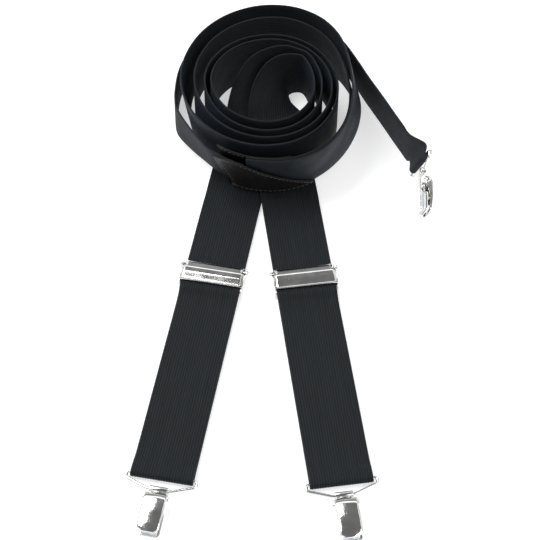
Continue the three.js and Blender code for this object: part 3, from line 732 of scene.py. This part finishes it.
def sewn_patches():
    outer = patch("outer_patch", "outer_leather")
    inner = patch("inner_patch", "inner_leather")
    out = LEATHER_THICKNESS / 2
    rows = [
        row_along(outer, lambda width: SEAM_INSET / width, out, 0.05, 0.97),
        row_along(outer, lambda width: 1 - SEAM_INSET / width, out, 0.05, 0.97),
        row_across(outer[round(0.94 * len(outer))], SEAM_INSET, SEAM_INSET, out),
        row_across(outer[round(0.06 * len(outer))], SEAM_INSET, SEAM_INSET, out),
        row_along(inner, lambda width: 1 - SEAM_INSET / width, out, 0.04, 0.96),
    ]
    stitching("patch_stitches", rows, DARK_THREAD)


# ---- metal pieces, modelled in millimetres about their own origin ----
def round_bar(name, radius, low, high, y, z, sides=32):
    """A round bar along X through (y, z)."""
    deselect_all()
    bpy.ops.mesh.primitive_cylinder_add(
        vertices=sides, radius=radius, depth=high - low,
        location=((low + high) / 2, y, z), rotation=(0, math.pi / 2, 0),
    )
    obj = bpy.context.object
    obj.name = name
    bpy.ops.object.transform_apply()
    return obj


def softened(obj, width, segments=3, angle=35):
    limit = {"limit_method": "ANGLE", "angle_limit": math.radians(angle)}
    return modify(obj, "BEVEL", width=width, segments=segments, **limit)


def formed(name, columns, rows, place, thickness, rim):
    """A pressed sheet: a grid whose points `place` puts where they belong, then thickened and rimmed."""
    deselect_all()
    bpy.ops.mesh.primitive_grid_add(x_subdivisions=columns, y_subdivisions=rows, size=2)
    obj = bpy.context.object
    obj.name = name
    for vertex in obj.data.vertices:
        vertex.co = place(vertex.co.x, (vertex.co.y + 1) / 2)
    modify(obj, "SOLIDIFY", thickness=thickness, offset=-1, use_even_offset=True)
    softened(obj, rim, 3, 50)
    return smoothed(tidied(obj), 50)


def polyline(points, place):
    """The point a share of the way along a list of [share, y, z] stations, eased from one to the next."""
    for before, after in zip(points, points[1:]):
        if place <= after[0]:
            share = (place - before[0]) / (after[0] - before[0])
            return [before[k] + (after[k] - before[k]) * share for k in (1, 2)]
    return points[-1][1:]


def curved_profile(points, place):
    """As polyline, with the corners rounded off."""
    reach = 0.035
    samples = [polyline(points, min(1, max(0, place + reach * step / 3))) for step in range(-3, 4)]
    return [sum(sample[k] for sample in samples) / len(samples) for k in (0, 1)]


def bail_wire(strap_width):
    """The wire's closed path: wide side at the strap, two shoulders, narrow side at the clip."""
    wide = strap_width / 2 + BAIL_SIDE_CLEARANCE + WIRE_DIAMETER / 2
    narrow = BAIL_NARROW_SIDE / 2
    corners = [
        Vector(corner + (0,)) for corner in (
            (-wide, 0), (wide, 0), (wide, BAIL_SHOULDER), (narrow, BAIL_DEPTH), (-narrow, BAIL_DEPTH),
            (-wide, BAIL_SHOULDER),
        )
    ]
    points = []
    for i, corner in enumerate(corners):
        before, after = corners[i - 1], corners[(i + 1) % len(corners)]
        start = corner + (before - corner).normalized() * BAIL_BEND
        end = corner + (after - corner).normalized() * BAIL_BEND
        for step in range(9):
            share = step / 8
            points.append(start.lerp(corner, share).lerp(corner.lerp(end, share), share))
    return points


def wire_ring(name, points):
    curve = bpy.data.curves.new(name, "CURVE")
    curve.dimensions = "3D"
    curve.bevel_depth = WIRE_DIAMETER / 2
    curve.bevel_resolution = 5
    spline = curve.splines.new("POLY")
    spline.points.add(len(points) - 1)
    for target, point in zip(spline.points, points):
        target.co = (*point, 1)
    spline.use_cyclic_u = True
    obj = bpy.data.objects.new(name, curve)
    bpy.context.scene.collection.objects.link(obj)
    select_only(obj)
    bpy.ops.object.convert(target="MESH")
    return smoothed(tidied(bpy.context.object), 60)


def clip_lever(name):
    """The lever: a crowned channel with a round, slightly lifted tip; the pin through its side walls is a separate
    piece.
    """
    start = HINGE_FROM_BAIL - LEVER_BEHIND_HINGE
    stations = [
        (0.0, start, LEVER_RISE - 2.2), (0.05, start + 0.5, LEVER_RISE - 0.9),
        (0.16, start + 3.6, LEVER_RISE),
        (0.5, start + 11.7, LEVER_RISE + 0.1), (0.8, start + 19.2, LEVER_RISE - 0.75),
        (0.92, start + 22.2, LEVER_RISE - 1.5), (1.0, start + LEVER_LENGTH, LEVER_RISE - 1.9),
    ]
    half = CLIP_WIDTH / 2

    def place(across, along):
        y, z = curved_profile(stations, along)
        wall = smooth_step(abs(across), 0.62, 0.8)
        down = max(0.0, (abs(across) - LEVER_FLAT) / (1 - LEVER_FLAT))
        taper = 1 - 0.07 * along
        share = min(1.0, abs(across) / LEVER_FLAT)
        width = half * taper * share
        tip = smooth_step(along, 0.84, 1.0)
        width *= math.sqrt(max(0.0, 1 - (0.62 * tip) ** 2))
        depth = 3.6 * (1 - smooth_step(along, 0.1, 0.8) * 0.72) * (1 - 0.9 * tip)
        crown = 0.55 * (1 - share ** 2)
        drop = depth * down + 0.35 * wall
        pull = 1.1 * tip * min(1.0, abs(across)) ** 2
        return Vector((math.copysign(width, across), y - pull, z - drop + crown - 0.2))

    return formed(name, 37, 45, place, SHEET_METAL, 0.16)


def clip_pin(name):
    reach = CLIP_WIDTH / 2 + GAP + PIN_HEAD
    hinge = (HINGE_FROM_BAIL, HINGE_RISE)
    shaft = round_bar(name, PIN_DIAMETER / 2, -reach + 0.4, reach - 0.4, *hinge)
    heads = [
        softened(round_bar("head", PIN_DIAMETER / 2 + 0.5, low, low + PIN_HEAD, *hinge), 0.3, 4)
        for low in (-reach, reach - PIN_HEAD)
    ]
    return smoothed(joined(name, [shaft, *heads]))


def adjuster_cover(name):
    """The domed cover: a back skirt, a long slope, a crown and a turned-up front lip, its ends cut back."""
    reach = ADJUSTER_LENGTH / 2
    stations = [
        (0.0, -reach, COVER_PIN_RISE + 0.35), (0.1, -reach + 0.55, COVER_TOP - 1.0),
        (0.2, -reach + 2.2, COVER_TOP), (0.45, -1.4, COVER_TOP + 0.95),
        (0.66, 2.2, COVER_TOP + 0.95), (0.86, reach - 1.9, COVER_TOP + 0.25),
        (0.93, reach - 0.9, COVER_TOP + 0.15), (1.0, reach, COVER_TOP + 0.45),
    ]
    half = ADJUSTER_OUTSIDE + COVER_OVERHANG

    def place(across, along):
        y, z = curved_profile(stations, along)
        end = smooth_step(abs(across), 0.9, 1.0)
        slope = smooth_step(along, 0.0, 0.25) * (1 - smooth_step(along, 0.8, 1.0))
        inwards = 0.9 * smooth_step(along, 0.05, 0.45) * (1 - 0.75 * smooth_step(along, 0.8, 1.0))
        beside_ears = 1 - smooth_step(y, COVER_NOTCH_END, COVER_NOTCH_END + 0.5)
        x = across * (half - (half - COVER_NOTCH_HALF) * beside_ears - inwards * abs(across) ** 6)
        return Vector((x, y, z - 0.95 * end * slope))

    return formed(name, 61, 37, place, SHEET_METAL, 0.18)


def local_frame(origin, axis, ahead):
    """Millimetre modelling space: X along the axis, Y towards the clip's tip, Z up out of the strap."""
    side = Vector(axis).normalized()
    forward = (ahead - side * ahead.dot(side)).normalized()
    up = side.cross(forward)
    turn = Matrix((side, forward, up)).transposed().to_4x4()
    return Matrix.Translation(origin) @ turn


def metal_stand_in(name, model, matrix, node, body):
    """A nickel copy of a piece, at its place, standing for its CAD node."""
    piece = new_object(name, model.data.copy())
    piece.data.name = name
    placed(piece, matrix)
    dressed(piece, NICKEL)
    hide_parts(node)
    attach(piece, body)
    return piece


def clips():
    lever = clip_lever("lever_model")
    pin = clip_pin("pin_model")
    wires = {
        "left": wire_ring("wide_bail_model", bail_wire(FRONT_WIDTH / MM)),
        "back": wire_ring("narrow_bail_model", bail_wire(BACK_WIDTH / MM)),
    }
    wires["right"] = wires["left"]
    for side, wire in wires.items():
        fold = Vector(joints[f"{side}_bail_hinge"]["pos_m"])
        head = Vector(joints[f"{side}_clip_hinge"]["pos_m"])
        axis = joints[f"{side}_bail_hinge"]["axis"]
        at_fold = local_frame(fold, axis, head - fold)
        at_head = local_frame(head, axis, head - fold)
        metal_stand_in(f"{side}_bail_wire", wire, at_fold, f"{side}_bail", f"{side}_bail")
        metal_stand_in(f"{side}_lever", lever, at_head, f"{side}_clip_lever", f"{side}_clip_lever")
        metal_stand_in(f"{side}_clip_rivet", pin, at_head, f"{side}_clip_pin", f"{side}_clip")
    for model in (lever, pin, wires["left"], wires["back"]):
        bpy.data.objects.remove(model)


def covers():
    cover = adjuster_cover("cover_model")
    for side in ("left", "right"):
        hinge = joints[f"{side}_adjuster_cover_hinge"]
        ahead = -Vector(joints[f"{side}_adjuster_slide"]["axis"])
        at_pin = local_frame(Vector(hinge["pos_m"]), hinge["axis"], ahead)
        at_middle = at_pin @ Matrix.Translation(Vector((0, COVER_PIN_BACK, -COVER_PIN_RISE)) * MM)
        body = f"{side}_adjuster_cover"
        metal_stand_in(f"{side}_cover", cover, at_middle, body, body)
    bpy.data.objects.remove(cover)


def rounded_cad_pieces():
    """The CAD pieces that show as they are get rounded edges and their finish."""
    slots = {part["node"]: part["material_slot"] for part in frame["record"]["subparts"]}
    finishes = {"nickel": NICKEL, "pad_plastic": PAD}
    for name, node in frame["nodes"].items():
        if slots[name] not in finishes:
            continue
        dressed(node, finishes[slots[name]])
        weld = node.modifiers.new("Weld", "WELD")
        weld.merge_threshold = MERGE_DISTANCE
        flat = node.modifiers.new("Flat", "DECIMATE")
        flat.decimate_type = "DISSOLVE"
        flat.angle_limit = math.radians(1)
        bevel = node.modifiers.new("Edges", "BEVEL")
        bevel.width = 0.00016
        bevel.segments = 3
        bevel.limit_method = "ANGLE"
        bevel.angle_limit = math.radians(35)
        smoothed(node, 35)


# ---- studio ----
def studio():
    scene = bpy.context.scene
    bpy.ops.object.camera_add(location=CAMERA_PLACE, rotation=(math.radians(CAMERA_TILT), 0, 0))
    camera = bpy.context.object
    camera.data.lens = CAMERA_LENS
    camera.data.clip_end = 20
    scene.camera = camera
    scene.view_settings.view_transform = "Standard"
    bpy.ops.mesh.primitive_grid_add(x_subdivisions=8, y_subdivisions=8, size=FLOOR_SIZE)
    floor = bpy.context.object
    floor.name = "floor"
    dressed(floor, floor_paper())
    softbox("key_light", (-0.55, 0.35, 1.1), 0.9, 0.6, 13)
    softbox("fill_light", (0.9, -0.5, 1.2), 1.0, 0.8, 7)
    surround(scene)


def softbox(name, place, width, depth, power):
    bpy.ops.object.light_add(type="AREA", location=place)
    light = bpy.context.object
    light.name = name
    light.data.shape = "RECTANGLE"
    light.data.size = width
    light.data.size_y = depth
    light.data.energy = power
    aim = Vector((0, 0, 0)) - Vector(place)
    light.rotation_euler = aim.to_track_quat("-Z", "Y").to_euler()


def surround(scene):
    """A pale room: white low down, a ring of light higher up, and grey bands that the metal mirrors."""
    world = bpy.data.worlds.new("surround")
    world.use_nodes = True
    scene.world = world
    nodes, links = world.node_tree.nodes, world.node_tree.links
    direction = nodes.new("ShaderNodeTexCoord")
    parts = nodes.new("ShaderNodeSeparateXYZ")
    ramp = nodes.new("ShaderNodeValToRGB")
    links.new(direction.outputs["Generated"], parts.inputs[0])
    links.new(parts.outputs["Z"], ramp.inputs[0])
    links.new(ramp.outputs[0], nodes["Background"].inputs[0])
    stops = [
        (0.0, 0.95), (0.3, 0.9), (0.42, 0.3), (0.55, 0.28),
        (0.61, 1.7), (0.7, 1.7), (0.76, 0.2), (1.0, 0.16),
    ]
    while len(ramp.color_ramp.elements) < len(stops):
        ramp.color_ramp.elements.new(0.5)
    for element, (place, level) in zip(ramp.color_ramp.elements, stops):
        element.position = place
        element.color = (level, level, level * 1.01, 1)
    nodes["Background"].inputs[1].default_value = 0.9


studio()
for side in ("left", "right"):
    front_strap(side)
for side in ("left", "right"):
    webbing_loop(side)
back_strap()
sewn_patches()
rounded_cad_pieces()
clips()
covers()
